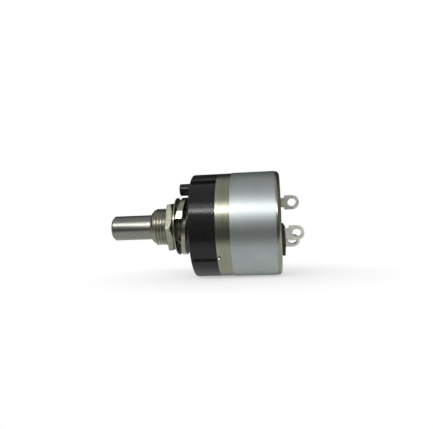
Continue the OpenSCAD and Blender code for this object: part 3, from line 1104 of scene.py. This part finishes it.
@dataclass
class Innards:
    """Finishes of the CAD nodes that keep their own shape."""

    finishes: Finishes
    names: Mapping[str, str] = field(
        default_factory=lambda: {
            "element_card": "laminated_card",
            "element_winding": "resistance_wire",
            "end_tap_a": "rolled_bronze",
            "end_tap_b": "rolled_bronze",
            "collector_spring": "rolled_bronze",
            "collector_contact": "contact_alloy",
            "wiper_spring": "rolled_bronze",
            "wiper_contact": "contact_alloy",
            "slip_ring": "turned_brass",
            "thrust_washer": "turned_brass",
            "rotor_hub": "brown_phenolic",
            "retaining_clip": "spring_steel",
        }
    )

    def dress(self, nodes: Mapping[str, bpy.types.Object]) -> list[bpy.types.Object]:
        """Puts each finish on its node.

        Args:
            nodes: CAD nodes by name.

        Returns:
            The dressed nodes.
        """
        for node, finish in self.names.items():
            self.finishes.put(nodes[node], finish)
        return [nodes[node] for node in self.names]


# ---------------------------------------------------------------- studio


def stand(
    obj: bpy.types.Object,
    right: np.ndarray,
    up: np.ndarray,
    back: np.ndarray,
    place: np.ndarray,
) -> None:
    """Stands a camera or a lamp at a place, with its back to a direction.

    Args:
        obj: Camera or lamp.
        right: Direction of its X axis.
        up: Direction of its Y axis.
        back: Direction of its Z axis.
        place: Where it stands, in metres.
    """
    frame = np.eye(4)
    frame[:3] = np.column_stack([right, up, back, place])
    obj.matrix_world = Matrix(frame.tolist())


@dataclass(frozen=True)
class SoftBox:
    """A lamp with a flat lit face that looks at the body.

    Its azimuth is counted from -Y towards +X, and its elevation from the horizon. Its
    size is the width and height of the face, and its radiance the face's brightness.
    """

    name: str
    azimuth_deg: float
    elevation_deg: float
    size_m: tuple[float, float]
    radiance: float
    distance_m: float = 0.35
    aim_m: tuple[float, float, float] = (0.005, 0.0, 0.0)

    def build(self) -> None:
        """Hangs the lamp, with as much power as its face needs for its radiance."""
        width, height = self.size_m
        data = bpy.data.lights.new(self.name, "AREA")
        data.shape = "RECTANGLE"
        data.size, data.size_y = width, height
        data.energy = self.radiance * math.pi * width * height
        a, e = math.radians(self.azimuth_deg), math.radians(self.elevation_deg)
        away = np.array([math.sin(a) * math.cos(e), -math.cos(a) * math.cos(e), math.sin(e)])
        right = np.array([math.cos(a), math.sin(a), 0.0])
        place = away * self.distance_m + np.array(self.aim_m)
        stand(add_object(self.name, data), right, np.cross(away, right), away, place)


@dataclass
class Studio:
    """Camera, floor and soft lights of a small product table.

    Every grey is the strength at which a surface shows to the camera or in a
    reflection, and one is white.
    """

    eye_mm: tuple[float, float, float] = (19.9, -112.0, 2.52)
    yaw_deg: float = -6.93
    roll_deg: float = -2.27
    focal_px: float = 463.4
    sensor_mm: float = 36.0
    clip_m: tuple[float, float] = (0.002, 20.0)
    room_light: float = 0.42
    table_colour: str = "#f4f4f2"
    table_mm: float = 900.0
    floor_mm: float = -12.45
    shadow_scale: tuple[float, float, float] = (0.7, 1.0, 0.0)
    shadow_shift_m: tuple[float, float, float] = (-0.008, 0.0, 0.0)
    shadow_mm: tuple[float, float] = (4.0, 28.0)
    shadow_glow: tuple[float, float] = (0.5, 1.0)
    dome_mm: float = 800.0
    dome_gap: float = 0.01
    dome_grid: tuple[int, int] = (13, 96)
    cloth_mm: float = 600.0
    cloth_lift_mm: float = 0.05
    cloth_grey: float = 0.95
    shade_mm: tuple[float, float] = (17.0, 28.0)
    contact_x_mm: tuple[float, float] = (0.0, 22.0)
    contact_mm: tuple[float, float] = (1.5, 6.0)
    contact_lift_mm: float = 0.02
    # Greys of the sheet under the body: a painted shadow that only reflections see
    contact_shadow_grey: tuple[float, float] = (0.15, 0.85)
    dome_foot_mm: float = -1.0
    depth_share: tuple[float, float] = (-0.3, 0.3)
    rear_share: tuple[float, float] = (0.2, 0.7)
    band_top: tuple[float, float] = (0.04, 0.7)
    band_fade: float = 0.25
    band_rear: float = 0.5
    front_grey: float = 0.13
    back_grey: float = 0.03
    side_grey: float = 0.3
    roof_grey: float = 0.6
    lamps: tuple[SoftBox, ...] = (
        SoftBox(
            "key_box", azimuth_deg=-10.0, elevation_deg=32.3, size_m=(0.5, 0.03), radiance=17.0
        ),
        SoftBox(
            "key_glow", azimuth_deg=-10.0, elevation_deg=41.0, size_m=(0.5, 0.08), radiance=2.3
        ),
    )

    def camera(self) -> None:
        """Stands the camera where the photograph was taken from."""
        yaw, roll = math.radians(self.yaw_deg), math.radians(self.roll_deg)
        right = np.array([math.cos(yaw), -math.sin(yaw), 0.0])
        ahead = np.array([math.sin(yaw), math.cos(yaw), 0.0])
        up = np.array([0.0, 0.0, 1.0])
        across = right * math.cos(roll) + up * math.sin(roll)
        upright = up * math.cos(roll) - right * math.sin(roll)
        data = bpy.data.cameras.new("camera")
        data.sensor_fit = "HORIZONTAL"
        data.sensor_width = self.sensor_mm
        data.lens = self.focal_px / IMAGE_W * self.sensor_mm
        data.clip_start, data.clip_end = self.clip_m
        obj = add_object("camera", data)
        stand(obj, across, upright, -ahead, np.array(self.eye_mm) * MM)
        bpy.context.scene.camera = obj

    def seen(self, tree: bpy.types.NodeTree) -> bpy.types.NodeSocket:
        """One for camera, glossy and transmission rays, and zero for the rest.

        Args:
            tree: Node tree that asks.

        Returns:
            The output socket.
        """
        path = add_node(tree, "ShaderNodeLightPath").outputs
        found = path["Is Camera Ray"]
        for kind in ("Is Glossy Ray", "Is Transmission Ray"):
            found = add_node(
                tree, "ShaderNodeMath", {0: found, 1: path[kind]}, operation="MAXIMUM"
            ).outputs[0]
        return found

    def world(self) -> None:
        """A white room that lights softly."""
        world = bpy.data.worlds.new("studio")
        bpy.context.scene.world = world
        world.use_nodes = True
        tree = world.node_tree
        tree.nodes.clear()
        strength = add_node(
            tree, "ShaderNodeMapRange", {"Value": self.seen(tree), "To Min": self.room_light}
        ).outputs["Result"]
        back = add_node(
            tree, "ShaderNodeBackground", {"Color": linear("#ffffff"), "Strength": strength}
        )
        add_node(tree, "ShaderNodeOutputWorld", {"Surface": back.outputs[0]})

    def floor(self) -> None:
        """A pale table top that keeps the object's shadow.

        It glows white for the camera, less so near the object: the share of the glow
        grows with the distance from the object's foot, which shadow_scale and
        shadow_shift_m lay out as an oval.
        """
        corners = np.array([[-1, -1], [1, -1], [1, 1], [-1, 1]], float) * self.table_mm
        points = np.column_stack([corners, np.full(4, self.floor_mm)])
        mesh = bpy.data.meshes.new("floor")
        mesh.from_pydata((points * MM).tolist(), [], [(0, 1, 2, 3)])
        obj = add_object("floor", mesh)
        material = blank_material("pale_table")
        tree = material.node_tree
        colour = {"Color": linear(self.table_colour)}
        matt = add_node(tree, "ShaderNodeBsdfDiffuse", colour).outputs[0]
        glow = add_node(tree, "ShaderNodeEmission", {"Strength": 1.0}).outputs[0]
        place = add_node(tree, "ShaderNodeTexCoord").outputs["Object"]
        oval = add_node(
            tree,
            "ShaderNodeVectorMath",
            {0: place, 1: self.shadow_scale, 2: self.shadow_shift_m},
            operation="MULTIPLY_ADD",
        ).outputs[0]
        reach = add_node(tree, "ShaderNodeVectorMath", {0: oval}, operation="LENGTH")
        fade = add_node(
            tree,
            "ShaderNodeMapRange",
            {
                "Value": reach.outputs["Value"],
                "From Min": self.shadow_mm[0] * MM,
                "From Max": self.shadow_mm[1] * MM,
                "To Min": self.shadow_glow[0],
                "To Max": self.shadow_glow[1],
            },
        ).outputs["Result"]
        share = add_node(
            tree, "ShaderNodeMath", {0: self.seen(tree), 1: fade}, operation="MULTIPLY"
        ).outputs[0]
        both = add_node(tree, "ShaderNodeMixShader", {0: share, 1: matt, 2: glow}).outputs[0]
        add_node(tree, "ShaderNodeOutputMaterial", {"Surface": both})
        mesh.materials.append(material)

    def surround_mesh(self) -> bpy.types.Mesh:
        """A half ball over the table, with two strips of cloth and a painted-shadow sheet on
        it.

        The ball's point at turn t and rise e is (cos e cos t, cos e sin t, sin e)
        times its radius. The strips lie in front of the object and behind it, and the
        sheet, a painted shadow, under it.

        Returns:
            The mesh.
        """
        rows, columns = self.dome_grid
        turns = np.linspace(0, 2 * np.pi, columns, endpoint=False)
        rise = np.linspace(0.0, np.pi / 2 - self.dome_gap, rows)[:, None]
        flat = self.dome_mm * np.cos(rise)
        ball = (flat * np.cos(turns), flat * np.sin(turns), self.dome_mm * np.sin(rise))
        ball = np.stack(np.broadcast_arrays(*ball), -1).reshape(-1, 3)
        side, near, reach = self.cloth_mm, self.shade_mm[0], self.contact_mm[1]
        cloth, sheet = self.floor_mm + self.cloth_lift_mm, self.floor_mm + self.contact_lift_mm
        flats = [(x, y, cloth) for y in (-side, -near, near, side) for x in (-side, side)]
        # A dark sheet under the body: painted shadow for reflections
        flats += [(x, y, sheet) for y in (-reach, reach) for x in self.contact_x_mm]
        points = np.concatenate([ball, flats])
        quads = grid_faces(rows, columns, False, True).tolist()
        quads += [(k, k + 1, k + 3, k + 2) for k in range(len(ball), len(points), 4)]
        mesh = bpy.data.meshes.new("surround")
        mesh.from_pydata((points * MM).tolist(), [], quads)
        return mesh

    def surround_material(self) -> bpy.types.Material:
        """The greys of a dim studio.

        On the half ball a band runs round the table, dark in front and darker behind,
        and lighter at both sides with the square of the sideways share of the
        direction. Its top is low in front and high behind, changes between the two
        depth shares of the direction, and is higher by band_rear on the lugs' side.
        Above it the grey is roof_grey. On the strips, which lie under dome_foot_mm,
        the cloth fades into painted shade, from cloth_grey to front_grey, between the
        distances of shade_mm. The sheet is a painted shadow: it darkens the cloth right
        under the body as the body's shadow does.

        Returns:
            The material.
        """
        material = blank_material("studio_wall")
        tree = material.node_tree
        place = add_node(tree, "ShaderNodeTexCoord").outputs["Object"]
        parts = add_node(tree, "ShaderNodeSeparateXYZ", {0: place}).outputs
        unit = add_node(tree, "ShaderNodeVectorMath", {0: place}, operation="NORMALIZE")
        share = add_node(tree, "ShaderNodeSeparateXYZ", {0: unit.outputs[0]}).outputs
        away, square = (
            add_node(tree, "ShaderNodeMath", inputs, operation=name).outputs[0]
            for name, inputs in (
                ("ABSOLUTE", {0: parts["Y"]}),
                ("MULTIPLY", {0: share["X"], 1: share["X"]}),
            )
        )
        near, far = self.shade_mm
        ends, edge, rear, cloth, sheet = (
            add_node(
                tree,
                "ShaderNodeMapRange",
                {"Value": value, "From Min": a, "From Max": b, "To Min": low, "To Max": high},
            ).outputs["Result"]
            for value, (a, b), (low, high) in (
                (share["Y"], self.depth_share, (self.front_grey, self.back_grey)),
                (share["Y"], self.depth_share, self.band_top),
                (share["X"], self.rear_share, (0.0, self.band_rear)),
                # The cloth's fade to front_grey beyond shade_mm is painted shade
                (away, (near * MM, far * MM), (self.cloth_grey, self.front_grey)),
                (away, (k * MM for k in self.contact_mm), self.contact_shadow_grey),
            )
        )
        wall = add_node(
            tree,
            "ShaderNodeMapRange",
            {"Value": square, "To Min": ends, "To Max": self.side_grey},
        ).outputs["Result"]
        top = add_node(tree, "ShaderNodeMath", {0: edge, 1: rear}, operation="ADD").outputs[0]
        above, on_shadow_sheet, on_table = (
            add_node(tree, "ShaderNodeMath", {0: value, 1: other}, operation=name).outputs[0]
            for value, other, name in (
                (share["Z"], top, "SUBTRACT"),
                (away, near / 2 * MM, "LESS_THAN"),
                (parts["Z"], self.dome_foot_mm * MM, "LESS_THAN"),
            )
        )
        roof = add_node(
            tree, "ShaderNodeMapRange", {"Value": above, "From Max": self.band_fade}
        ).outputs["Result"]
        room, flats = (
            add_node(
                tree, "ShaderNodeMix", {0: k, FLOAT_A: a, FLOAT_B: b}, data_type="FLOAT"
            ).outputs[FLOAT_OUT]
            for k, a, b in ((roof, wall, self.roof_grey), (on_shadow_sheet, cloth, sheet))
        )
        both = add_node(
            tree,
            "ShaderNodeMix",
            {0: on_table, FLOAT_A: room, FLOAT_B: flats},
            data_type="FLOAT",
        ).outputs[FLOAT_OUT]
        face = add_node(tree, "ShaderNodeEmission", {"Strength": both})
        add_node(tree, "ShaderNodeOutputMaterial", {"Surface": face.outputs[0]})
        return material

    def surround(self) -> None:
        """A dim studio round the table, which only reflections see."""
        mesh = self.surround_mesh()
        mesh.materials.append(self.surround_material())
        obj = add_object("surround", mesh)
        obj.visible_camera = False
        obj.visible_diffuse = False
        obj.visible_transmission = False
        obj.visible_shadow = False

    def build(self) -> None:
        """Sets the whole table up."""
        self.camera()
        self.world()
        self.floor()
        self.surround()
        for lamp in self.lamps:
            lamp.build()
        bpy.context.scene.view_settings.view_transform = "Standard"


def main() -> None:
    """Dresses the frame, piece by piece."""
    logging.basicConfig(level=logging.INFO, format="%(name)s %(message)s")
    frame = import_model()
    Studio().build()
    finishes = Finishes()
    dressed = Innards(finishes).dress(frame["nodes"])
    hardware = Hardware(finishes)
    shell = Shell(finishes)
    made = [
        Threads(finishes).build(),
        hardware.build_nut(),
        hardware.build_flat(),
        hardware.build_lock(),
        Moulding(finishes).build(),
        shell.build_can(),
        shell.build_label(),
    ]
    # Node, name, finish and broken edge, and the body where it isn't the base
    eased = (
        ("terminal_plate", "plate_moulding", "matt_phenolic", 0.12),
        ("wiper_lug", "lug_upper", "tinned_brass", 0.07),
        ("end_lug_a", "lug_near", "tinned_brass", 0.07),
        ("end_lug_b", "lug_far", "tinned_brass", 0.07),
        ("shaft", "shaft_rod", "turned_steel", 0.05, "rotor"),
    )
    made += [Stamping(finishes, *row).build(frame["nodes"]) for row in eased]
    for obj in dressed + made:
        LOG.info("%s: %d faces", obj.name, len(obj.data.polygons))


if __name__ == "__main__":
    main()
